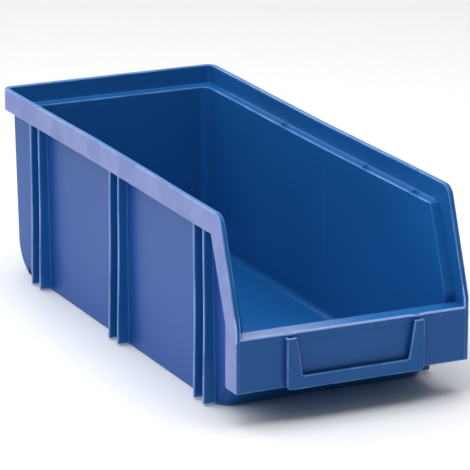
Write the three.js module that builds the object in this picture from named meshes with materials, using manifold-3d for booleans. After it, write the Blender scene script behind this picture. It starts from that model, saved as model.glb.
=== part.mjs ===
// A stackable storage bin: one injection moulding in polypropylene, held here as its moulded features.
// Millimetres, +Z up. The open mouth faces -Y, the bin rests on z = 0 and x = 0 is the plane of symmetry.
// The solids are drawn with the outer face of the front panel on y = 0, and each mesh is then moved back so
// that the origin is the middle of the bin's underside.
import * as THREE from "three";
import { mergeVertices } from "three/addons/utils/BufferGeometryUtils.js";
import Module from "manifold-3d";

// Overall size, measured over the rim
const WIDTH = 150;
const LENGTH = 350;
const HEIGHT = 121;

// Walls
const WALL = 2.6;
const FLOOR = 2.4;
const DRAFT = Math.tan(THREE.MathUtils.degToRad(1));
const HEEL_RADIUS = 18;
const TUB_CORNER = 5;
const FIN_DEPTH = 3.6; // of the fins that carry the side walls on behind the rear wall
const FIN_RADIUS = 21.6; // of their feet

// Rim band and the stacking ledge inside its foot
const BAND_HEIGHT = 14;
const BAND_THICKNESS = 3.4;
const RIM_CORNER = 7;
const SIDE_STEP = 6.6;
const REAR_STEP = 8;
const LEDGE_THICKNESS = 1.6;
const LEDGE_NOTCH_LENGTH = 9;
const LEDGE_NOTCH_DEPTH = 0.9;
const LEDGE_NOTCH_PLACES = [0, 0.25, 0.7]; // as shares of the way from the front rib pair to the rear one

// Mouth: the raised edge slopes down to the front panel
const MOUTH_SETBACK = 22.6; // from the front to the start of the slope
const MOUTH_FOOT_HEIGHT = 59; // where the slope turns upright
const MOUTH_BEND_RADIUS = 9;
const EDGE_TOP_WIDTH = 11.6; // of the raised edge at the rim, along Y
const EDGE_FOOT_WIDTH = 14.6; // and at the panel

// Front
const PANEL_BOTTOM = 20.8;
const PANEL_TOP = 53.5;
const BASE_SETBACK = 41; // of the base behind the panel

// Label holder
const HOLDER_WIDTH = 88.6;
const HOLDER_TOP_GAP = 2.6; // below the lip
const HOLDER_DROP = 0.8; // below the panel
const HOLDER_DEPTH = 3.6; // in front of the panel
const HOLDER_WALL = 2;
const WINDOW_TOP_WIDTH = 76;
const WINDOW_BOTTOM_WIDTH = 68.4;
const BAR_HEIGHT = 7.8;
const LABEL_RECESS = 0.6;

// Ribs: three pairs on each side
const RIB_THICKNESS = 2;
const RIB_SPACING = 13; // between the two ribs of a pair
const RIB_FRONT_GAP = 15.4; // from the mouth edge to the middle of the front pair
const RIB_REAR_GAP = 52; // from the rear rim to the middle of the rear pair
const RIB_INSET = 0.6; // of the outer edge behind the rim band
const RIB_FOOT = 1; // above the base

// Derived planes and places
const bandFoot = HEIGHT - BAND_HEIGHT;
const ledgeTop = bandFoot + LEDGE_THICKNESS;
const halfWidth = WIDTH / 2;
const bandInner = halfWidth - BAND_THICKNESS;
const baseHalf = halfWidth - SIDE_STEP - bandFoot * DRAFT;
const rearBase = LENGTH - REAR_STEP - bandFoot * DRAFT;
const finBase = rearBase + FIN_DEPTH;
const lipUnderside = PANEL_TOP - WALL;
const lipDepth = EDGE_FOOT_WIDTH - WALL;
const panelJoint = HOLDER_WIDTH / 2;
const seamX = baseHalf - WALL - TUB_CORNER; // where the rear pieces meet the corners
const seamY = rearBase - WALL - TUB_CORNER; // where the side pieces meet the corners
const edgeSeamY = MOUTH_SETBACK + EDGE_TOP_WIDTH + WALL; // where the rim bands meet the mouth edges
const frontPairY = edgeSeamY + RIB_FRONT_GAP;
const rearPairY = LENGTH - RIB_REAR_GAP;
const middleY = (LENGTH - HOLDER_DEPTH) / 2; // between the label holder's face and the rear rim
const OVERSHOOT = 30; // how far a cutting solid runs past what it cuts

const blue = { color: 0x1f4f96, roughness: 0.38, metalness: 0 };

const wasm = await Module();
wasm.setup();

const bin = new THREE.Group();
bin.name = "stackable_storage_bin";

// Solids and meshes

function solid(geometry) {
  const bare = new THREE.BufferGeometry();
  bare.setAttribute("position", geometry.getAttribute("position"));
  bare.setIndex(geometry.getIndex());
  const merged = mergeVertices(bare, 1e-4);
  return new wasm.Manifold(
    new wasm.Mesh({
      numProp: 3,
      vertProperties: new Float32Array(merged.attributes.position.array),
      triVerts: new Uint32Array(merged.index.array),
    }),
  );
}

function add(name, body) {
  const made = body.getMesh();
  const geometry = new THREE.BufferGeometry();
  geometry.setAttribute("position", new THREE.BufferAttribute(made.vertProperties, 3));
  geometry.setIndex(new THREE.BufferAttribute(made.triVerts, 1));
  geometry.computeVertexNormals();
  const mesh = new THREE.Mesh(geometry, new THREE.MeshStandardMaterial(blue));
  mesh.name = name;
  mesh.position.y = -middleY;
  bin.add(mesh);
}

function box(x0, x1, y0, y1, z0, z1) {
  const geometry = new THREE.BoxGeometry(x1 - x0, y1 - y0, z1 - z0);
  geometry.translate((x0 + x1) / 2, (y0 + y1) / 2, (z0 + z1) / 2);
  return solid(geometry);
}

// A closed outline through the corners, each [u, v] or [u, v, radius]
function outline(corners) {
  const shape = new THREE.Shape();
  corners.forEach(([u, v, radius = 0], i) => {
    const here = new THREE.Vector2(u, v);
    const before = new THREE.Vector2(...corners.at(i - 1)).sub(here).normalize();
    const after = new THREE.Vector2(...corners[(i + 1) % corners.length]).sub(here).normalize();
    const setback = radius / Math.tan(Math.acos(before.dot(after)) / 2);
    const start = before.clone().multiplyScalar(setback).add(here);
    const end = after.clone().multiplyScalar(setback).add(here);
    if (i === 0) shape.moveTo(start.x, start.y);
    else shape.lineTo(start.x, start.y);
    if (radius > 0) {
      const inward = before.clone().add(after).normalize();
      const centre = inward.multiplyScalar(Math.hypot(radius, setback)).add(here);
      const from = start.clone().sub(centre).angle();
      const to = end.clone().sub(centre).angle();
      const clockwise = before.cross(after) > 0;
      shape.absarc(centre.x, centre.y, radius, from, to, clockwise);
    }
  });
  shape.closePath();
  return shape;
}

function extruded(shape, depth) {
  return new THREE.ExtrudeGeometry(shape, { depth, bevelEnabled: false, curveSegments: 6 });
}

// An outline in (y, z), run along X from x0 to x1
function alongX(corners, x0, x1) {
  const geometry = extruded(outline(corners), x1 - x0);
  const turn = new THREE.Matrix4().set(0, 0, 1, x0, 1, 0, 0, 0, 0, 1, 0, 0, 0, 0, 0, 1);
  return solid(geometry.applyMatrix4(turn));
}

// An outline in (x, z), run along Y from y0 to y1
function alongY(corners, y0, y1) {
  const geometry = extruded(outline(corners), y1 - y0);
  const turn = new THREE.Matrix4().set(1, 0, 0, 0, 0, 0, -1, y1, 0, 1, 0, 0, 0, 0, 0, 1);
  return solid(geometry.applyMatrix4(turn));
}

// A rounded block, open-ended towards the front, from z0 to z1
function block(half, rear, corner, z0, z1) {
  const corners = [
    [-half, -OVERSHOOT],
    [half, -OVERSHOOT],
    [half, rear, corner],
    [-half, rear, corner],
  ];
  return extruded(outline(corners), z1 - z0).translate(0, 0, z0);
}

// The same block with the draft of the walls, its sizes given at z = 0
function draftedBlock(half, rear, corner, z0, z1) {
  const geometry = block(half, rear, corner, z0, z1);
  const position = geometry.getAttribute("position");
  for (let i = 0; i < position.count; i += 1) {
    const shift = position.getZ(i) * DRAFT;
    position.setX(i, position.getX(i) + Math.sign(position.getX(i)) * shift);
    if (position.getY(i) > 0) position.setY(i, position.getY(i) + shift);
  }
  return solid(geometry);
}

function mirrored(name, body) {
  add("left_" + name, body.mirror([1, 0, 0]));
  add("right_" + name, body);
}

// Tub

// Everything a heel's radius leaves, in (y, z), with the floor and rear wall set in by a thickness
function heelProfile(base, radius, inset) {
  const rear = base + radius * DRAFT - inset;
  return [
    [-OVERSHOOT, inset],
    [rear, inset, radius - inset],
    [rear, radius],
    [rear + OVERSHOOT, radius],
    [rear + OVERSHOOT, HEIGHT + OVERSHOOT],
    [-OVERSHOOT, HEIGHT + OVERSHOOT],
  ];
}

const tubTop = HEIGHT + 1;
const tubOuter = draftedBlock(baseHalf, rearBase, TUB_CORNER, 0, tubTop).intersect(
  alongX(heelProfile(rearBase, HEEL_RADIUS, 0), -WIDTH, WIDTH),
);
const tubInner = draftedBlock(baseHalf - WALL, rearBase - WALL, TUB_CORNER - WALL / 2, 0, tubTop).intersect(
  alongX(heelProfile(rearBase, HEEL_RADIUS, FLOOR), -WIDTH, WIDTH),
);

// The part of the tub's shell that lies in a cutting solid
function shellIn(cutter) {
  return tubOuter.intersect(cutter).subtract(tubInner);
}

// The outer face of the sloped front wall, as y at a height
const frontSlope = (BASE_SETBACK - lipDepth + WALL * 1.15) / lipUnderside;
const frontWallY = (z) => BASE_SETBACK - z * frontSlope;
const frontWallThickness = WALL * 1.15; // along Y

const floorProfile = [
  [frontWallY(0), 0],
  [LENGTH, 0],
  [LENGTH, FLOOR],
  [frontWallY(FLOOR), FLOOR],
];
add("floor_panel", tubOuter.intersect(alongX(floorProfile, -WIDTH, WIDTH)));
add("rear_heel", shellIn(box(-seamX, seamX, LENGTH / 2, LENGTH, FLOOR, HEEL_RADIUS)));
add("rear_wall", shellIn(box(-seamX, seamX, LENGTH / 2, LENGTH, HEEL_RADIUS, bandFoot)));

const edgeTop = MOUTH_SETBACK + EDGE_TOP_WIDTH;
const sideProfile = [
  [frontWallY(FLOOR), FLOOR],
  [seamY, FLOOR],
  [seamY, bandFoot],
  [edgeTop, bandFoot],
  [EDGE_FOOT_WIDTH, MOUTH_FOOT_HEIGHT],
  [EDGE_FOOT_WIDTH, PANEL_BOTTOM],
  [frontWallY(PANEL_BOTTOM), PANEL_BOTTOM],
];
mirrored("side_wall", shellIn(alongX(sideProfile, seamX, WIDTH)));

const cornerBox = box(seamX, WIDTH, seamY, LENGTH, FLOOR, bandFoot);
const fin = draftedBlock(baseHalf, finBase, 1, 0, tubTop)
  .intersect(alongX(heelProfile(finBase, FIN_RADIUS, 0), -WIDTH, WIDTH))
  .subtract(draftedBlock(baseHalf - WALL, LENGTH + OVERSHOOT, 1, 0, tubTop));
mirrored("rear_corner", shellIn(cornerBox).add(fin.intersect(cornerBox)));

const frontWallProfile = [
  [frontWallY(FLOOR), FLOOR],
  [frontWallY(FLOOR) + frontWallThickness, FLOOR],
  [lipDepth, lipUnderside],
  [lipDepth - frontWallThickness, lipUnderside],
];
add("front_inner_wall", alongX(frontWallProfile, -WIDTH, WIDTH).intersect(tubInner));

// Rim band and stacking ledge

const bandSolid = solid(block(halfWidth, LENGTH, RIM_CORNER, bandFoot, HEIGHT)).subtract(
  solid(block(bandInner, LENGTH - BAND_THICKNESS, RIM_CORNER - BAND_THICKNESS / 2, 0, tubTop)),
);
const ledgeSolid = solid(
  block(bandInner, LENGTH - BAND_THICKNESS, RIM_CORNER - BAND_THICKNESS / 2, bandFoot, ledgeTop),
).subtract(tubInner);

mirrored("rim_band", bandSolid.intersect(box(seamX, WIDTH, edgeSeamY, seamY, 0, tubTop)));
add("rear_rim_band", bandSolid.intersect(box(-seamX, seamX, seamY, LENGTH, 0, tubTop)));
const rimCorner = bandSolid.add(ledgeSolid).intersect(box(seamX, WIDTH, seamY, LENGTH, 0, tubTop));
mirrored("rim_corner", rimCorner);
add("rear_stacking_ledge", ledgeSolid.intersect(box(-seamX, seamX, seamY, LENGTH, 0, tubTop)));

let sideLedge = ledgeSolid.intersect(box(seamX, WIDTH, edgeSeamY, seamY, 0, tubTop));
for (const place of LEDGE_NOTCH_PLACES) {
  const middle = frontPairY + place * (rearPairY - frontPairY);
  const notch = box(
    seamX,
    bandInner,
    middle - LEDGE_NOTCH_LENGTH / 2,
    middle + LEDGE_NOTCH_LENGTH / 2,
    ledgeTop - LEDGE_NOTCH_DEPTH,
    ledgeTop + OVERSHOOT,
  );
  sideLedge = sideLedge.subtract(notch);
}
mirrored("stacking_ledge", sideLedge);

// Mouth edges: a raised edge round the mouth, and the web that steps it out from the side wall

const mouthSlopeProfile = [
  [MOUTH_SETBACK, HEIGHT, MOUTH_BEND_RADIUS],
  [0, MOUTH_FOOT_HEIGHT],
  [EDGE_FOOT_WIDTH, MOUTH_FOOT_HEIGHT],
  [edgeTop, bandFoot],
  [edgeSeamY, bandFoot],
  [edgeSeamY, HEIGHT],
];
const mouthFootProfile = [
  [0, PANEL_BOTTOM],
  [EDGE_FOOT_WIDTH, PANEL_BOTTOM],
  [EDGE_FOOT_WIDTH, MOUTH_FOOT_HEIGHT],
  [0, MOUTH_FOOT_HEIGHT],
];
mirrored("mouth_edge_slope", alongX(mouthSlopeProfile, bandInner, halfWidth));
mirrored("mouth_edge_foot", alongX(mouthFootProfile, bandInner, halfWidth));

const slopeWebProfile = [
  [lipDepth, MOUTH_FOOT_HEIGHT],
  [EDGE_FOOT_WIDTH, MOUTH_FOOT_HEIGHT],
  [edgeTop, bandFoot],
  [edgeSeamY, bandFoot],
  [edgeSeamY, ledgeTop],
  [edgeTop - WALL * 0.6, ledgeTop],
];
const footWebProfile = [
  [lipDepth, PANEL_BOTTOM],
  [EDGE_FOOT_WIDTH, PANEL_BOTTOM],
  [EDGE_FOOT_WIDTH, MOUTH_FOOT_HEIGHT],
  [lipDepth, MOUTH_FOOT_HEIGHT],
];
mirrored("slope_web", alongX(slopeWebProfile, seamX, bandInner).subtract(tubInner));
mirrored("foot_web", alongX(footWebProfile, seamX, bandInner).subtract(tubInner));

// Front: the lip, the panel hanging from it and the label holder

add("front_lip", box(-bandInner, bandInner, 0, lipDepth, lipUnderside, PANEL_TOP));
mirrored("front_panel", box(panelJoint, bandInner, 0, WALL, PANEL_BOTTOM, lipUnderside));
add(
  "label_panel",
  box(-panelJoint, panelJoint, LABEL_RECESS, LABEL_RECESS + WALL, PANEL_BOTTOM, lipUnderside),
);

const holderTop = PANEL_TOP - HOLDER_TOP_GAP;
const holderBottom = PANEL_BOTTOM - HOLDER_DROP;
const barTop = holderBottom + BAR_HEIGHT;
const windowSlope = (WINDOW_TOP_WIDTH - WINDOW_BOTTOM_WIDTH) / 2 / (holderTop - barTop);
const postProfile = [
  [WINDOW_BOTTOM_WIDTH / 2, barTop],
  [panelJoint, barTop],
  [panelJoint, holderTop],
  [WINDOW_BOTTOM_WIDTH / 2 + windowSlope * (holderTop - barTop), holderTop],
];
const postFace = alongY(postProfile, -HOLDER_DEPTH, HOLDER_WALL - HOLDER_DEPTH);
const postReturn = box(panelJoint - HOLDER_WALL, panelJoint, -HOLDER_DEPTH, 0, barTop, holderTop);
mirrored("label_post", postFace.add(postReturn));

const barFace = box(
  -panelJoint,
  panelJoint,
  -HOLDER_DEPTH,
  HOLDER_WALL - HOLDER_DEPTH,
  holderBottom,
  barTop,
);
const barReturn = box(
  -panelJoint,
  panelJoint,
  -HOLDER_DEPTH,
  0,
  holderBottom,
  holderBottom + HOLDER_WALL,
);
add("label_bar", barFace.add(barReturn));

// Side ribs

function rib(y) {
  const outer = halfWidth - RIB_INSET;
  const plate = box(seamX, outer, y - RIB_THICKNESS / 2, y + RIB_THICKNESS / 2, RIB_FOOT, bandFoot);
  return plate.subtract(tubOuter);
}

let ribNumber = 0;
for (const pairY of [frontPairY, (frontPairY + rearPairY) / 2, rearPairY]) {
  for (const side of [-1, 1]) {
    ribNumber += 1;
    mirrored("rib_" + ribNumber, rib(pairY + (side * RIB_SPACING) / 2));
  }
}

export default bin;
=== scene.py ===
"""A stackable storage bin in blue polypropylene: looks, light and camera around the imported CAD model.

Lengths in the modelling code are millimetres in the CAD frame (+Z up, the open mouth towards -Y). Each CAD
node, one moulded feature of the bin, is replaced by a piece with the moulding's fillets and slight warp.
"""

from math import cos, exp, pi, radians, sin, sqrt, tan

import bmesh
import bpy
from mathutils import Matrix, Vector


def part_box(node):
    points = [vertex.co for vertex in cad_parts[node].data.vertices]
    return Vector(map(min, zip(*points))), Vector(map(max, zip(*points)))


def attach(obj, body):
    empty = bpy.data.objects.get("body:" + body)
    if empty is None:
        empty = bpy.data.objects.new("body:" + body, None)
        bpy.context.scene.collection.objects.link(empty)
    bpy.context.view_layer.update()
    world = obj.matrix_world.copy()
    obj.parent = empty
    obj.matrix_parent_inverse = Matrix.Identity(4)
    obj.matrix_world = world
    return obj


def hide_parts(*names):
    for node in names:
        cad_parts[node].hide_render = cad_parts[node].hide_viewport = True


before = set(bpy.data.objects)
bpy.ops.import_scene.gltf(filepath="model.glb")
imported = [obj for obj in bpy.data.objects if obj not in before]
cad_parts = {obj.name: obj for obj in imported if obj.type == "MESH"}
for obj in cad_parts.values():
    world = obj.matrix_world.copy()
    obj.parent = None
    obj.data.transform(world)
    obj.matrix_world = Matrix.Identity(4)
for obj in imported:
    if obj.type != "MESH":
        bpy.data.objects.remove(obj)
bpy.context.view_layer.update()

MM = 0.001


def low(node):
    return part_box(node)[0] / MM


def high(node):
    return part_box(node)[1] / MM


DRAFT = tan(radians(1))

# Sizes read from the frame
HALF = high("right_rim_band").x
BAND_INNER = low("right_rim_band").x
BAND_FOOT = low("right_rim_band").z
TOP = high("right_rim_band").z
REAR = high("rear_rim_band").y
LEDGE_TOP = high("right_stacking_ledge").z
FRONT = low("right_mouth_edge_foot").y
EDGE_SEAM = low("right_rim_band").y - FRONT
FOOT_WIDTH = high("right_mouth_edge_foot").y - FRONT
FOOT_TOP = high("right_mouth_edge_foot").z
PANEL_BOTTOM = low("right_mouth_edge_foot").z
LIP_TOP = high("front_lip").z
LIP_UNDER = low("front_lip").z
LIP_DEPTH = high("front_lip").y - FRONT
FLOOR = high("floor_panel").z
WALL = (high("right_front_panel") - low("right_front_panel")).y
HEEL = high("rear_heel").z
BASE_SETBACK = low("floor_panel").y - FRONT
BASE_HALF = high("right_side_wall").x - BAND_FOOT * DRAFT
REAR_BASE = high("rear_wall").y - BAND_FOOT * DRAFT
FIN_BASE = high("right_rear_corner").y - BAND_FOOT * DRAFT
HOLDER_HALF = high("label_bar").x
HOLDER_FRONT = low("label_bar").y - FRONT
HOLDER_BOTTOM = low("label_bar").z
HOLDER_TOP = high("right_label_post").z
BAR_TOP = high("label_bar").z
POST_FOOT_INNER = low("right_label_post").x
RIB_PLACES = [
    (low(f"right_rib_{n}").y + high(f"right_rib_{n}").y) / 2 - FRONT for n in range(1, 7)
]
RIB_OUTER = high("right_rib_1").x
RIB_HALF = (high("right_rib_1").y - low("right_rib_1").y) / 2
RIB_FOOT = low("right_rib_1").z

# Sizes the frame's boxes don't give
MOUTH_SETBACK = 22.6
EDGE_TOP = EDGE_SEAM - WALL
EDGE_JOINT = FOOT_TOP - 8
WEB_LAP = 1.3
POST_TOP_INNER = 38
HOLDER_WALL = 2
FRONT_THICKNESS = WALL * 1.15
FRONT_SLOPE = (BASE_SETBACK - LIP_DEPTH + FRONT_THICKNESS) / LIP_UNDER
NOTCH_LENGTH = 9
NOTCH_DEPTH = 0.9
NOTCH_PLACES = (0, 0.25, 0.7)
NOTCH_END = 0.6
BUMP_HEIGHT = 1.2
BUMP_PLACE = 1.4
BUMP_SPREAD = 0.8
SINK_DEPTH = 0.07
SINK_SPREAD = 1.5
FIN_LAP = 8
FIN_PROUD = 0.02
FIN_INSET = 0.3
RIB_HOLLOW = 0.5

# Heights of the rings through the walls, the fins and the ribs
WALL_LEVELS = [26, 36, 48, 60, 72, 84, 95]
BAND_LEVELS = (111, 116)
FIN_LEVELS = [26, 48, 72, 90, BAND_FOOT + 0.3]
RIB_LEVELS = [6, 12, 20, 35, 50, 65, 80, 92, BAND_FOOT + 0.6]

# Corner and edge radii
TUB_CORNER = 7.5
TUB_INNER_CORNER = 5.5
RIM_CORNER = 7
FIN_RADIUS = 21.6
FIN_EDGE = 0.8
FIN_INNER_EDGE = 0.5
RIM_EDGE = 0.8
RIM_FOOT_EDGE = 0.5
LEDGE_FILLET = 1.2
FLOOR_FILLET = 4
BASE_EDGE = 1
BASE_CORNER = 9
MOUTH_CORNER = 9
HOLDER_CORNER = 3.2
RIB_FOOT_EDGE = 1
RIB_FILLET = 1.2

# The moulding's slight warp, and the widest rounding that gets a painted edge highlight
BOW = 1.3
WOBBLE = 0.1
WOBBLE_LENGTH = 13
EDGE_STRIP = 0.55
SHARP_ANGLE = radians(32)

# Seams between the pieces, all in flat parts of the walls
SEAM_X = 57.5
SEAM_Y = 321
RIM_SEAM_Y = 331
WALL_SEAM_Z = 104
HEEL_SEAM_Z = HEEL + 1
RIM_SEAM = LEDGE_FILLET + 0.2
FRONT_SEAM = 14


# Meshes: closed bodies from rings of points, and cuts through them


def mesh_of(name, points, faces):
    mesh = bpy.data.meshes.new(name)
    mesh.from_pydata(points, [], faces)
    body = bmesh.new()
    body.from_mesh(mesh)
    bmesh.ops.recalc_face_normals(body, faces=body.faces)
    body.to_mesh(mesh)
    body.free()
    return mesh


def ringed(name, rings):
    """A closed body through rings of as many points each, with a flat cap at both ends."""
    count = len(rings[0])
    points = [p for ring in rings for p in ring]
    faces = [list(range(count)), list(range(len(points) - count, len(points)))]
    for r in range(len(rings) - 1):
        for i in range(count):
            j = (i + 1) % count
            faces.append([r * count + i, r * count + j, (r + 1) * count + j, (r + 1) * count + i])
    return mesh_of(name, points, faces)


def cut(source, *planes):
    """What is left of a closed body in front of each plane, (normal, distance)."""
    body = bmesh.new()
    body.from_mesh(source)
    for normal, distance in planes:
        normal = Vector(normal)
        distance = distance / normal.length
        normal.normalize()
        everything = body.verts[:] + body.edges[:] + body.faces[:]
        made = bmesh.ops.bisect_plane(
            body, geom=everything, plane_co=normal * distance, plane_no=normal, clear_inner=True
        )
        edges = [e for e in made["geom_cut"] if isinstance(e, bmesh.types.BMEdge)]
        bmesh.ops.triangle_fill(body, edges=edges, use_beauty=True)
    bmesh.ops.recalc_face_normals(body, faces=body.faces)
    mesh = bpy.data.meshes.new(source.name)
    body.to_mesh(mesh)
    body.free()
    return mesh


def combined(operation, first, second):
    ends = []
    for mesh in (first, second):
        end = bpy.data.objects.new("end", mesh)
        bpy.context.scene.collection.objects.link(end)
        ends.append(end)
    modifier = ends[0].modifiers.new("cut", "BOOLEAN")
    modifier.operation = operation
    modifier.solver = "EXACT"
    modifier.object = ends[1]
    graph = bpy.context.evaluated_depsgraph_get()
    mesh = bpy.data.meshes.new_from_object(ends[0].evaluated_get(graph))
    for end in ends:
        bpy.data.objects.remove(end)
    return mesh


def mirrored(mesh):
    other = mesh.copy()
    other.transform(Matrix.Scale(-1, 4, (1, 0, 0)))
    other.flip_normals()
    return other


def rounded(corners, steps=6):
    """A closed outline through the corners, each (u, v) or (u, v, radius)."""
    outline = []
    for i, corner in enumerate(corners):
        here = Vector(corner[:2])
        radius = corner[2] if len(corner) > 2 else 0
        if radius == 0:
            outline.append(here)
            continue
        before = (Vector(corners[i - 1][:2]) - here).normalized()
        after = (Vector(corners[(i + 1) % len(corners)][:2]) - here).normalized()
        half = before.angle(after) / 2
        centre = here + (before + after).normalized() * (radius / sin(half))
        start = here + before * (radius / tan(half)) - centre
        end = here + after * (radius / tan(half)) - centre
        turn = start.angle_signed(end)
        for step in range(steps + 1):
            outline.append(centre + Matrix.Rotation(-turn * step / steps, 2) @ start)
    return outline


def inset(outline, depth):
    area = sum(a.cross(b) for a, b in zip(outline, outline[1:] + outline[:1]))
    sign = 1 if area > 0 else -1
    moved = []
    for i, here in enumerate(outline):
        before = (here - outline[i - 1]).normalized()
        after = (outline[(i + 1) % len(outline)] - here).normalized()
        normals = [Vector((-d.y, d.x)) * sign for d in (before, after)]
        middle = (normals[0] + normals[1]).normalized()
        moved.append(here + middle * depth / max(middle.dot(normals[0]), 0.3))
    return moved


def quarter(steps=4):
    """(inset share, depth share) round a quarter circle, from the face to the side."""
    turns = [pi / 2 * i / steps for i in range(steps + 1)]
    return [(1 - sin(t), 1 - cos(t)) for t in turns]


def placed(axis, uv, depth):
    return (depth, uv[0], uv[1]) if axis == "x" else (uv[0], depth, uv[1])


def plate(name, axis, corners, start, end, edge_start, edge_end):
    """An outline given depth along an axis, with rounded edges on both faces."""
    outline = rounded(corners)
    rings = []
    for share, depth in quarter():
        face = inset(outline, share * edge_start)
        rings.append([placed(axis, p, start + depth * edge_start) for p in face])
    for share, depth in reversed(quarter()):
        face = inset(outline, share * edge_end)
        rings.append([placed(axis, p, end - depth * edge_end) for p in face])
    return ringed(name, rings)


def reshaped(mesh, move):
    for vertex in mesh.vertices:
        vertex.co = move(*vertex.co)
    return mesh


# The tub, ledge and rim, all round but for the mouth


def rise(height, radius):
    """How far a rounded lower edge stands in at a height above it."""
    return radius - sqrt(max(radius**2 - (radius - height) ** 2, 0)) if height < radius else 0


def outer_side(z):
    return BASE_HALF + z * DRAFT - rise(z, BASE_EDGE)


def outer_rear(z):
    return REAR_BASE + z * DRAFT - rise(z, HEEL)


def inner_side(z):
    return BASE_HALF - WALL + z * DRAFT - rise(z - FLOOR, FLOOR_FILLET)


def inner_rear(z):
    return REAR_BASE - WALL + z * DRAFT - rise(z - FLOOR, HEEL - FLOOR)


def arc_heights(foot, radii, steps=10):
    heights = {foot}
    for radius in radii:
        heights |= {foot + radius * (1 - cos(pi / 2 * i / steps)) for i in range(1, steps + 1)}
    kept = []
    for height in sorted(heights):
        if not kept or height - kept[-1] > 0.04:
            kept.append(height)
    return kept


def section():
    """(half width, rear, corner radius, z) up the wall's outside, over the rim and down the inside."""
    rows = []
    fillet_top = BAND_FOOT - LEDGE_FILLET
    for z in arc_heights(0, (BASE_EDGE, HEEL)) + WALL_LEVELS + [fillet_top]:
        rows.append((outer_side(z), outer_rear(z), TUB_CORNER, z))
    for share, depth in list(reversed(quarter()))[1:]:
        out = share * LEDGE_FILLET
        z = BAND_FOOT - depth * LEDGE_FILLET
        rows.append((outer_side(fillet_top) + out, outer_rear(fillet_top) + out, TUB_CORNER, z))

    def band(depth, z):
        rows.append((HALF - depth, REAR - depth, RIM_CORNER - depth, z))

    for share, depth in quarter():
        band(share * RIM_FOOT_EDGE, BAND_FOOT + depth * RIM_FOOT_EDGE)
    for z in BAND_LEVELS:
        band(0, z)
    for share, depth in reversed(quarter()):
        band(share * RIM_EDGE, TOP - depth * RIM_EDGE)
    thickness = HALF - BAND_INNER
    for share, depth in quarter():
        band(thickness - share * RIM_EDGE, TOP - depth * RIM_EDGE)
    for share, depth in reversed(quarter()):
        band(thickness + share * LEDGE_FILLET, LEDGE_TOP + depth * LEDGE_FILLET)
    for share, depth in quarter():
        z = LEDGE_TOP - depth * RIM_EDGE
        out = share * RIM_EDGE
        rows.append((inner_side(LEDGE_TOP) + out, inner_rear(LEDGE_TOP) + out, TUB_INNER_CORNER, z))
    down = arc_heights(FLOOR, (FLOOR_FILLET, HEEL - FLOOR)) + WALL_LEVELS
    for z in reversed(down):
        rows.append((inner_side(z), inner_rear(z), TUB_INNER_CORNER, z))
    return rows


def notch_middles():
    first = (RIB_PLACES[0] + RIB_PLACES[1]) / 2
    last = (RIB_PLACES[4] + RIB_PLACES[5]) / 2
    return [first + place * (last - first) for place in NOTCH_PLACES]


def side_stations():
    stations = {4 + 7 * i for i in range(45)}
    for place in RIB_PLACES:
        stations |= {place + d for d in (-3, -1.6, -0.7, 0, 0.7, 1.6, 3)}
    for middle in notch_middles():
        for end in (middle - NOTCH_LENGTH / 2, middle + NOTCH_LENGTH / 2):
            stations |= {end + d for d in (-0.6, -0.2, 0.2, 0.6)}
        stations |= {middle + NOTCH_LENGTH / 2 + d for d in (1, 1.4, 1.8, 2.4, 3)}
    kept = []
    for station in sorted(stations):
        if station < SEAM_Y - 2 and (not kept or station - kept[-1] > 0.15):
            kept.append(station)
    return kept


def sink(y):
    """The shallow draw in the inner face behind each rib."""
    return SINK_DEPTH * sum(exp(-(((y - place) / SINK_SPREAD) ** 2)) for place in RIB_PLACES)


def step(low_end, high_end, value):
    share = min(max((value - low_end) / (high_end - low_end), 0), 1)
    return share * share * (3 - 2 * share)


def notch(y):
    """The ledge's height along a side: notches, each with a small bump at its rear end."""
    height = 0
    for middle in notch_middles():
        start, end = middle - NOTCH_LENGTH / 2, middle + NOTCH_LENGTH / 2
        begun = step(start - NOTCH_END, start + NOTCH_END, y)
        ended = step(end - NOTCH_END, end + NOTCH_END, y)
        height -= NOTCH_DEPTH * begun * (1 - ended)
        height += BUMP_HEIGHT * exp(-(((y - end - BUMP_PLACE) / BUMP_SPREAD) ** 2))
    return height


def make_shell():
    stations = side_stations()
    rows = section()
    rings = []
    for half, rear, corner, z in rows:
        inside = half < BASE_HALF + z * DRAFT - WALL / 2
        inner_wall = inside and FLOOR < z < LEDGE_TOP - RIM_EDGE
        ledge = abs(z - LEDGE_TOP) < 0.01
        right = []
        for y in stations:
            x = half + (sink(y) if inner_wall else 0)
            right.append((x, FRONT + y, z + (notch(y) if ledge else 0)))
        for i in range(11):
            turn = pi / 2 * i / 10
            across, along = half - corner, rear - corner
            right.append((across + corner * cos(turn), along + corner * sin(turn), z))
        left = [(-x, y, z) for x, y, z in right]
        rings.append(left + right[::-1])
    count = len(rings[0])
    points = [p for ring in rings for p in ring]
    last = (len(rings) - 1) * count
    faces = [list(range(count)), list(range(last, last + count))]
    for r in range(len(rings) - 1):
        here, there = r * count, (r + 1) * count
        for i in range(count - 1):
            faces.append([here + i, here + i + 1, there + i + 1, there + i])
    left_end = [r * count for r in range(len(rings))]
    right_end = [r * count + count - 1 for r in range(len(rings))]
    faces.append(left_end + right_end[::-1])
    return mesh_of("shell", points, faces)


def front_wall_y(z):
    return FRONT + BASE_SETBACK - z * FRONT_SLOPE


def closed_loop(half, front, front_corner, z):
    right = []
    for i in range(11):
        turn = pi / 2 * i / 10
        across, along = half - front_corner, front + front_corner
        right.append((across + front_corner * sin(turn), along - front_corner * cos(turn), z))
    rear = FRONT + SEAM_Y + 10
    loop = right + [(half, rear, z)]
    return loop + [(-point[0], *point[1:]) for point in reversed(loop)]


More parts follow.
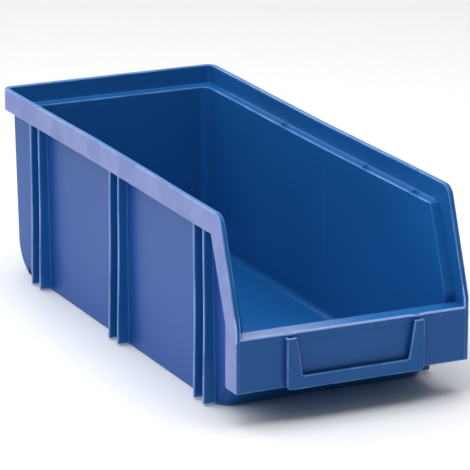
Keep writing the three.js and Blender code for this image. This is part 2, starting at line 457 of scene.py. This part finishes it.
def make_front_tub():
    """The floor, the sloped front wall and the rounded corners beside it.

    Above the panel's foot it ends inside the side walls.
    """
    rings = []
    for z in arc_heights(0, (BASE_EDGE,), 5) + [PANEL_BOTTOM]:
        front = front_wall_y(z) + rise(z, BASE_EDGE)
        rings.append(closed_loop(outer_side(z), front, BASE_CORNER, z))
    top = LIP_UNDER + 0.6
    for z in (PANEL_BOTTOM, top):
        rings.append(closed_loop(inner_side(z) + 1.2, front_wall_y(z), BASE_CORNER, z))
    for z in (top, PANEL_BOTTOM):
        front = front_wall_y(z) + FRONT_THICKNESS
        rings.append(closed_loop(inner_side(z) + 0.3, front, BASE_CORNER - WALL, z))
    for z in [PANEL_BOTTOM] + arc_heights(FLOOR, (FLOOR_FILLET,), 8)[::-1]:
        front = front_wall_y(z) + FRONT_THICKNESS + rise(z - FLOOR, FLOOR_FILLET)
        rings.append(closed_loop(inner_side(z), front, BASE_CORNER - WALL, z))
    return ringed("front_tub", rings)


# The slight warp of the real moulding


def warp(x, y, z):
    side = 1 if x > 0 else -1
    along = min(max((y - FRONT - EDGE_SEAM) / (REAR - 12 - FRONT - EDGE_SEAM), 0), 1)
    reach = min(abs(x) / BASE_HALF, 1) ** 2
    bow = BOW * sin(pi * along) ** 2 * (z / TOP) ** 1.4
    wobble = WOBBLE * (1 + sin(y / WOBBLE_LENGTH + side)) * sin(pi * along) * step(BAND_FOOT - 6, TOP, z)
    return Vector((x - side * reach * (bow + wobble), y, z))


def mark_edges(mesh):
    """Notes the narrow faces that round off an outer edge, where a painted highlight goes."""
    body = bmesh.new()
    body.from_mesh(mesh)
    layer = body.faces.layers.float.new("edge_highlight")
    for face in body.faces:
        long_edges = sorted(face.edges, key=lambda edge: edge.calc_length())[-2:]
        width = face.calc_area() / max(long_edges[-1].calc_length(), 1e-6)
        turns = [edge.calc_face_angle_signed(0) for edge in long_edges]
        outward = min(turns) > -0.02 and radians(10) < max(turns) < radians(50)
        face[layer] = 1.0 if width < EDGE_STRIP and outward else 0.0
    body.to_mesh(mesh)
    body.free()


pieces = []


def piece(node, mesh):
    mesh.name = node
    if "web" not in node:
        mark_edges(mesh)
    reshaped(mesh, warp)
    mesh.transform(Matrix.Scale(MM, 4))
    for polygon in mesh.polygons:
        polygon.use_smooth = True
    mesh.set_sharp_from_angle(angle=SHARP_ANGLE)
    shown = bpy.data.objects.new("bin_" + node, mesh)
    bpy.context.scene.collection.objects.link(shown)
    smoothing = shown.modifiers.new("flat faces", "WEIGHTED_NORMAL")
    smoothing.keep_sharp = True
    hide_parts(node)
    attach(shown, "root")
    pieces.append(shown)


def pair(name, mesh):
    piece("left_" + name, mirrored(mesh))
    piece("right_" + name, mesh)


RIGHT, LEFT = (1, 0, 0), (-1, 0, 0)
BACK, FORE = (0, 1, 0), (0, -1, 0)
UP, DOWN = (0, 0, 1), (0, 0, -1)


def make_fin():
    """The side wall's run behind the rear wall, down to its rounded foot."""
    rings = []
    curved = [FIN_RADIUS * (1 - cos(pi / 2 * i / 20)) for i in range(2, 21)]
    for z in curved + FIN_LEVELS:
        front = FRONT + SEAM_Y + FIN_LAP
        rear = FIN_BASE + z * DRAFT - rise(z, FIN_RADIUS)
        outer = outer_side(z) + FIN_PROUD
        inner = BASE_HALF - WALL + z * DRAFT + FIN_INSET
        ring = [(inner, front, z), (outer, front, z)]
        for share, depth in reversed(quarter()):
            ring.append((outer - share * FIN_EDGE, rear - depth * FIN_EDGE, z))
        for share, depth in quarter():
            ring.append((inner + share * FIN_INNER_EDGE, rear - depth * FIN_INNER_EDGE, z))
        rings.append(ring)
    return ringed("fin", rings)


def make_tub():
    shell = make_shell()
    front_tub = make_front_tub()
    past_rear, before_rear = (BACK, FRONT + SEAM_Y), (FORE, -FRONT - SEAM_Y)
    past_rim, before_rim = (BACK, FRONT + RIM_SEAM_Y), (FORE, -FRONT - RIM_SEAM_Y)
    above, below = (UP, WALL_SEAM_Z), (DOWN, -WALL_SEAM_Z)
    outside = (RIGHT, SEAM_X)
    between = [(RIGHT, -SEAM_X), (LEFT, -SEAM_X)]
    front_seam = FRONT + BASE_SETBACK + FRONT_SEAM
    behind = ((0, 1, FRONT_SLOPE), front_seam)
    before = ((0, -1, -FRONT_SLOPE), -front_seam)
    piece("floor_panel", cut(front_tub, *between, behind, before_rear, (DOWN, -10)))
    piece("front_inner_wall", cut(front_tub, before))
    piece("rear_heel", cut(shell, *between, past_rear, (DOWN, -HEEL_SEAM_Z)))
    piece("rear_wall", cut(shell, *between, past_rear, (UP, HEEL_SEAM_Z), below))
    corner = cut(shell, outside, past_rear, below)
    pair("rear_corner", combined("UNION", corner, make_fin()))

    slope_start = Vector((0, FRONT + FOOT_WIDTH, FOOT_TOP))
    slope = Vector((0, BAND_FOOT - FOOT_TOP, FOOT_WIDTH - EDGE_TOP))
    past_slope = (slope, slope.dot(slope_start))
    wall = cut(shell, outside, before_rear, below, (BACK, FRONT + FOOT_WIDTH), past_slope)
    wedge_corners = [
        (FRONT, -5),
        (front_seam + 5 * FRONT_SLOPE, -5),
        (front_seam - PANEL_BOTTOM * FRONT_SLOPE, PANEL_BOTTOM),
        (FRONT, PANEL_BOTTOM),
    ]
    wedge = plate("wedge", "x", wedge_corners, 0, 2 * HALF, 0, 0)
    pair("side_wall", combined("DIFFERENCE", wall, wedge))

    band_x, band_y = BAND_INNER - RIM_SEAM, REAR - (HALF - BAND_INNER) - RIM_SEAM
    past_mouth = (BACK, FRONT + EDGE_SEAM)
    pair("rim_band", cut(shell, (RIGHT, band_x), above, past_mouth, before_rim))
    pair("stacking_ledge", cut(shell, outside, (LEFT, -band_x), above, past_slope, before_rim))
    pair("rim_corner", cut(shell, outside, above, past_rim))
    piece("rear_rim_band", cut(shell, *between, above, (BACK, band_y)))
    piece("rear_stacking_ledge", cut(shell, *between, above, past_rear, (FORE, -band_y)))


# The mouth's raised edges and the webs behind them


def make_mouth():
    rear = FRONT + EDGE_SEAM + 8
    corners = [
        (rear, TOP),
        (FRONT + MOUTH_SETBACK, TOP, MOUTH_CORNER),
        (FRONT, FOOT_TOP, MOUTH_CORNER),
        (FRONT, PANEL_BOTTOM, 0.8),
        (FRONT + FOOT_WIDTH, PANEL_BOTTOM, 1),
        (FRONT + FOOT_WIDTH, FOOT_TOP, 5),
        (FRONT + EDGE_TOP, BAND_FOOT, 1),
        (rear, BAND_FOOT),
    ]
    edge = plate("edge", "x", corners, BAND_INNER, HALF, RIM_EDGE, RIM_EDGE)

    def taper(x, y, z):
        """Thins the foot and thickens the slope a little, on the inner face."""
        if x < (BAND_INNER + HALF) / 2:
            x += 0.6 * (1 - step(FOOT_TOP - 10, FOOT_TOP + 6, z))
            x -= 0.45 * step(FOOT_TOP, FOOT_TOP + 12, z) * (1 - step(BAND_FOOT - 8, BAND_FOOT, z))
        return Vector((x, y, z))

    reshaped(edge, taper)
    seam = (FORE, -FRONT - EDGE_SEAM)
    pair("mouth_edge_slope", cut(edge, (UP, EDGE_JOINT), seam))
    pair("mouth_edge_foot", cut(edge, (DOWN, -EDGE_JOINT), seam))

    web_corners = [
        (FRONT + EDGE_SEAM + 1, LEDGE_TOP - 0.05),
        (FRONT + EDGE_TOP - WALL * 0.6, LEDGE_TOP - 0.05, 1),
        (FRONT + LIP_DEPTH, FOOT_TOP, 6),
        (FRONT + LIP_DEPTH, PANEL_BOTTOM),
        (FRONT + FOOT_WIDTH + WEB_LAP, PANEL_BOTTOM),
        (FRONT + FOOT_WIDTH + WEB_LAP, FOOT_TOP, 4),
        (FRONT + EDGE_TOP + WEB_LAP, BAND_FOOT, 1),
        (FRONT + EDGE_SEAM + 1, BAND_FOOT),
    ]
    web = plate("web", "x", web_corners, BASE_HALF - WALL, BAND_INNER + 1.2, 1.2, 0)

    def drafted(x, y, z):
        return Vector((x + (z * DRAFT + 0.05 if x < BASE_HALF else 0), y, z))

    reshaped(web, drafted)
    pair("slope_web", cut(web, (UP, EDGE_JOINT)))
    pair("foot_web", cut(web, (DOWN, -EDGE_JOINT)))


# The front: lip, panels and label holder


def make_front():
    corners = [
        (FRONT, PANEL_BOTTOM, 0.8),
        (FRONT + WALL, PANEL_BOTTOM, 0.8),
        (FRONT + WALL, LIP_UNDER, 1.2),
        (FRONT + LIP_DEPTH, LIP_UNDER, 0.6),
        (FRONT + LIP_DEPTH, LIP_TOP, 0.9),
        (FRONT, LIP_TOP, 1.1),
    ]
    outline = rounded(corners)
    post = (HOLDER_HALF + POST_TOP_INNER) / 2
    half = [20, 60, BAND_INNER + 1] + [post + d for d in (-7, -5, -3.5, -2, 0, 2, 3.5, 5, 7)]
    stations = sorted([-s for s in half] + [0] + half)

    def dip(x, y, z):
        """Dips the lip's front edge over each post and steps its rear edge back, most at the left."""
        near = exp(-(((abs(x) - post) / 3.2) ** 2))
        fore = 1 - step(0, 3, y - FRONT)
        back = step(LIP_DEPTH - 4, LIP_DEPTH, y - FRONT)
        left = near if x < 0 else 0.4 * near
        raised = step(LIP_UNDER, LIP_TOP, z)
        return Vector((x, y + 0.5 * back * left * raised, z - 0.7 * near * fore * raised))

    rings = [[tuple(dip(x, p.x, p.y)) for p in outline] for x in stations]
    front = ringed("front", rings)
    seam = LIP_UNDER - 1.5
    piece("front_lip", cut(front, (UP, seam)))
    pair("front_panel", cut(front, (DOWN, -seam), (RIGHT, HOLDER_HALF)))
    recess = low("label_panel").y
    inner = HOLDER_HALF + 1
    panel_corners = [
        (-inner, PANEL_BOTTOM, 0.5),
        (-inner, LIP_UNDER + 0.5),
        (inner, LIP_UNDER + 0.5),
        (inner, PANEL_BOTTOM, 0.5),
    ]
    piece("label_panel", plate("label_panel", "y", panel_corners, recess, recess + WALL, 0.4, 0.4))

    face = FRONT + HOLDER_FRONT
    outer = [
        (-HOLDER_HALF, HOLDER_TOP, 0.8),
        (-HOLDER_HALF, HOLDER_BOTTOM, HOLDER_CORNER),
        (HOLDER_HALF, HOLDER_BOTTOM, HOLDER_CORNER),
        (HOLDER_HALF, HOLDER_TOP, 0.8),
    ]
    window = [
        (POST_TOP_INNER, HOLDER_TOP, 0.8),
        (POST_FOOT_INNER, BAR_TOP, 1.4),
        (-POST_FOOT_INNER, BAR_TOP, 1.4),
        (-POST_TOP_INNER, HOLDER_TOP, 0.8),
    ]
    frame_face = plate("face", "y", outer + window, face, face + 2, 0.7, 0.3)
    inner, foot = HOLDER_HALF - HOLDER_WALL, HOLDER_BOTTOM + HOLDER_WALL
    returned = [
        (inner, HOLDER_TOP, 0.4),
        (inner, foot, 1),
        (-inner, foot, 1),
        (-inner, HOLDER_TOP, 0.4),
    ]
    frame_side = plate("side", "y", outer + returned, face + 1, FRONT + 1.2, 0.05, 0.05)
    holder = combined("UNION", frame_face, frame_side)
    seam = BAR_TOP + 2
    pair("label_post", cut(holder, (UP, seam), (RIGHT, 0)))
    piece("label_bar", cut(holder, (DOWN, -seam)))


# Ribs


def make_rib(number, place):
    rings = []
    for z in [RIB_FOOT + h for h in (0, 0.1, 0.3, 0.6, 1)] + RIB_LEVELS:
        foot = rise(z - RIB_FOOT, RIB_FOOT_EDGE)
        surface = outer_side(max(z, BASE_EDGE))
        outer = RIB_OUTER - foot - RIB_HOLLOW * sin(pi * z / BAND_FOOT) ** 2
        half = RIB_HALF - foot * 0.4
        edge = 0.75 * half
        turns = [pi / 2 * i / 4 for i in range(5)]
        side = [(surface - 1.2, half + 1.1)]
        for t in turns:
            side.append((surface - 0.1 + RIB_FILLET * (1 - cos(t)), half + RIB_FILLET * (1 - sin(t))))
        for t in turns:
            side.append((outer - edge + edge * sin(t), half - edge + edge * cos(t)))
        middle = FRONT + place
        ring = [(x, middle + d, z) for x, d in side]
        rings.append(ring + [(x, middle - d, z) for x, d in reversed(side)])
    pair(f"rib_{number}", ringed("rib", rings))


make_tub()
make_mouth()
make_front()
for index, place in enumerate(RIB_PLACES):
    make_rib(index + 1, place)


# Material: blue plastic, with a painted shade and reflection tint outside, a painted reflection on the
# band and lip, and painted highlights on the rounded edges

BLUE = (0.022, 0.185, 0.46, 1)
DEEP_BLUE = (0.018, 0.166, 0.42, 1)
# darker, more violet tint for the outward faces: painted shade and painted reflection tint
OUTWARD_SHADE_TINT = (0.030, 0.070, 0.33, 1)
# pale lavender painted reflection for the band's outer faces and the lip's top
REFLECTION_TINT = (0.50, 0.52, 0.82, 1)
# pale colour for the painted highlights on the rounded edges
HIGHLIGHT_COLOUR = (0.38, 0.52, 0.85, 1)
# how strongly the painted shade tint, the painted reflections and the painted lip-edge highlight are mixed
# in
OUTWARD_SHADE_SHARE = 0.6
REFLECTION_SHARE = 0.43
LIP_REFLECTION_SHARE = 0.5
LIP_HIGHLIGHT_SHARE = 0.95


class Nodes:
    def __init__(self, name):
        self.material = bpy.data.materials.new(name)
        self.material.use_nodes = True
        self.tree = self.material.node_tree
        self.shader = self.tree.nodes["Principled BSDF"]

    def add(self, kind, **settings):
        node = self.tree.nodes.new(kind)
        for key, value in settings.items():
            if key in node.inputs:
                node.inputs[key].default_value = value
            else:
                setattr(node, key, value)
        return node

    def link(self, start, end):
        self.tree.links.new(start, end)

    def feed(self, sockets, values):
        """Sets each socket to a plain value, or links it to another node's output."""
        for socket, value in zip(sockets, values):
            if isinstance(value, (int, float, tuple)):
                socket.default_value = value
            else:
                self.link(value, socket)

    def math(self, operation, *values):
        node = self.add("ShaderNodeMath", operation=operation)
        self.feed(node.inputs, values)
        return node.outputs[0]

    def between(self, value, start, end, low_value=0, high_value=1):
        node = self.add("ShaderNodeMapRange", interpolation_type="SMOOTHSTEP")
        self.feed(node.inputs[:5], (value, start, end, low_value, high_value))
        return node.outputs[0]

    def noise(self, where, scale, detail=3, rough=0.5):
        node = self.add("ShaderNodeTexNoise", Scale=scale, Detail=detail, Roughness=rough)
        self.link(where, node.inputs["Vector"])
        return node.outputs["Fac"]

    def mix(self, share, first, second):
        node = self.add("ShaderNodeMix", data_type="RGBA")
        self.feed((node.inputs[0], node.inputs[6], node.inputs[7]), (share, first, second))
        return node.outputs[2]


def plastic():
    n = Nodes("polypropylene")
    where = n.add("ShaderNodeTexCoord").outputs["Object"]
    split = n.add("ShaderNodeSeparateXYZ")
    n.link(where, split.inputs[0])
    x, y, z = split.outputs
    facing = n.add("ShaderNodeSeparateXYZ")
    n.link(n.add("ShaderNodeNewGeometry").outputs["Normal"], facing.inputs[0])
    face_x, face_y, face_z = facing.outputs

    def times(first, second):
        return n.math("MULTIPLY", first, second)

    def larger(first, second):
        return n.math("MAXIMUM", first, second)

    cloud = n.noise(where, 9, 3)
    grain = n.noise(where, 600, 1)
    patches = n.noise(where, 45, 4, 0.6)

    # Painted reflection on the band's and the mouth edges' outermost faces
    sideways = n.between(n.math("ABSOLUTE", face_x), 0.5, 0.9)
    outermost = times(sideways, n.between(n.math("ABSOLUTE", x), 0.0718, 0.0728))
    rearward = times(n.between(face_y, 0.5, 0.9), n.between(z, 0.1055, 0.107))
    behind = times(rearward, n.between(y, (REAR - 4) * MM, (REAR - 1) * MM))
    reflection = times(larger(outermost, behind), REFLECTION_SHARE)

    # Painted reflection on the lip's top, most of all on the left
    lip = times(n.between(z, 0.045, 0.05), n.between(z, 0.06, 0.065, 1, 0))
    lip = times(n.between(face_z, 0.5, 0.95), lip)
    lip = times(lip, n.between(x, -0.06, 0.02, 1, 0))
    reflection = larger(reflection, times(lip, LIP_REFLECTION_SHARE))
    reflection = times(reflection, n.between(patches, 0.3, 0.7, 0.8, 1.15))

    # Painted shade and reflection tint: a darker, more violet colour on faces that point away from the
    # middle of the bin
    to_side = n.between(times(x, face_x), 0.03, 0.045)
    to_end = n.between(times(y, face_y), 0.15, 0.163, 0, 0.5)
    outward_shade = times(larger(to_side, to_end), OUTWARD_SHADE_SHARE)

    # Painted highlights on the rounded edges, in patches but for the lip's front edge
    edge_highlight = n.add("ShaderNodeAttribute", attribute_name="edge_highlight").outputs["Fac"]
    lip_highlight = times(n.between(z, 0.050, 0.0515), n.between(y, -0.1715, -0.1695, 1, 0))
    highlight_strength = larger(n.between(patches, 0.35, 0.6, 0.15, 0.45), times(lip_highlight, LIP_HIGHLIGHT_SHARE))

    blue = n.mix(n.between(cloud, 0.3, 0.7), DEEP_BLUE, BLUE)
    # painted shade and reflection tint on the outward faces
    blue = n.mix(outward_shade, blue, OUTWARD_SHADE_TINT)
    # painted reflection on the band and the lip's top
    blue = n.mix(reflection, blue, REFLECTION_TINT)
    # painted highlights on the rounded edges
    n.link(n.mix(times(edge_highlight, highlight_strength), blue, HIGHLIGHT_COLOUR), n.shader.inputs["Base Color"])
    n.link(n.between(cloud, 0.3, 0.7, 0.31, 0.37), n.shader.inputs["Roughness"])
    n.shader.inputs["IOR"].default_value = 1.45

    bump = n.add("ShaderNodeBump", Strength=0.2, Distance=0.0001)
    n.link(n.math("ADD", times(grain, 0.1), cloud), bump.inputs["Height"])
    n.link(bump.outputs[0], n.shader.inputs["Normal"])
    return n.material


blue_plastic = plastic()
for shown in pieces:
    shown.data.materials.clear()
    shown.data.materials.append(blue_plastic)


# Camera: where it stands, and how far beside and below the bin's middle it aims, in metres

VIEW_AZIMUTH = radians(-25.35)
VIEW_ELEVATION = radians(16.5)
VIEW_ROLL = radians(0.1)
VIEW_DISTANCE = 2.212
VIEW_ASIDE = 0.0071
VIEW_BELOW = 0.0013
LENS = 276.1


def make_camera():
    centre = Vector((0, (FRONT + REAR) / 2 * MM, TOP / 2 * MM))
    level = cos(VIEW_ELEVATION)
    back = Vector((sin(VIEW_AZIMUTH) * level, -cos(VIEW_AZIMUTH) * level, sin(VIEW_ELEVATION)))
    right = Vector((cos(VIEW_AZIMUTH), sin(VIEW_AZIMUTH), 0))
    up = back.cross(right)
    place = centre + back * VIEW_DISTANCE
    target = centre + right * VIEW_ASIDE - up * VIEW_BELOW
    data = bpy.data.cameras.new("camera")
    data.lens = LENS
    data.sensor_width = 36
    data.clip_end = 20
    camera = bpy.data.objects.new("camera", data)
    turn = (target - place).to_track_quat("-Z", "Y").to_matrix() @ Matrix.Rotation(VIEW_ROLL, 3, "Z")
    camera.matrix_world = Matrix.Translation(place) @ turn.to_4x4()
    bpy.context.scene.collection.objects.link(camera)
    bpy.context.scene.camera = camera


make_camera()


# Floor and light, in metres and watts

FLOOR_REACH = 6
FLOOR_WHITE = (0.93, 0.93, 0.93, 1)
SKY_BRIGHT_SIDE = (-0.3, 0.9, 0.2)
SKY_RAMP = (0.2, 0.95, 0.26, 1.5)
LIGHT_TARGET = (0, 0, 0.05)


def make_studio():
    points = [(x * FLOOR_REACH, y * FLOOR_REACH, 0) for x, y in ((-1, -1), (1, -1), (1, 1), (-1, 1))]
    ground = bpy.data.objects.new("floor", mesh_of("floor", points, [(0, 1, 2, 3)]))
    bpy.context.scene.collection.objects.link(ground)
    n = Nodes("floor")
    n.shader.inputs["Base Color"].default_value = FLOOR_WHITE
    n.shader.inputs["Roughness"].default_value = 0.7
    ground.data.materials.append(n.material)

    world = bpy.data.worlds.new("studio")
    world.use_nodes = True
    tree = world.node_tree
    where = tree.nodes.new("ShaderNodeTexCoord")
    toward = tree.nodes.new("ShaderNodeVectorMath")
    toward.operation = "DOT_PRODUCT"
    toward.inputs[1].default_value = Vector(SKY_BRIGHT_SIDE).normalized()
    tree.links.new(where.outputs["Generated"], toward.inputs[0])
    ramp = tree.nodes.new("ShaderNodeMapRange")
    ramp.interpolation_type = "SMOOTHSTEP"
    for socket, number in zip(ramp.inputs[1:5], SKY_RAMP):
        socket.default_value = number
    tree.links.new(toward.outputs["Value"], ramp.inputs[0])
    tree.links.new(ramp.outputs[0], tree.nodes["Background"].inputs["Strength"])
    tree.nodes["Background"].inputs["Color"].default_value = (1, 1, 1, 1)
    bpy.context.scene.world = world


def softbox(name, place, width, height, power):
    data = bpy.data.lights.new(name, "AREA")
    data.shape = "RECTANGLE"
    data.size, data.size_y = width, height
    data.energy = power
    light = bpy.data.objects.new(name, data)
    light.location = place
    toward = Vector(LIGHT_TARGET) - Vector(place)
    light.rotation_euler = toward.to_track_quat("-Z", "Y").to_euler()
    bpy.context.scene.collection.objects.link(light)


make_studio()
softbox("top", (0, -0.1, 1.6), width=1.4, height=1.4, power=17)
softbox("left", (-1.2, -0.2, 1.3), width=0.8, height=1.2, power=7)
softbox("fill", (-0.9, -1.6, 1.2), width=1.2, height=1.2, power=2.6)
bpy.context.scene.view_settings.view_transform = "Standard"
bpy.context.scene.view_settings.gamma = 0.8
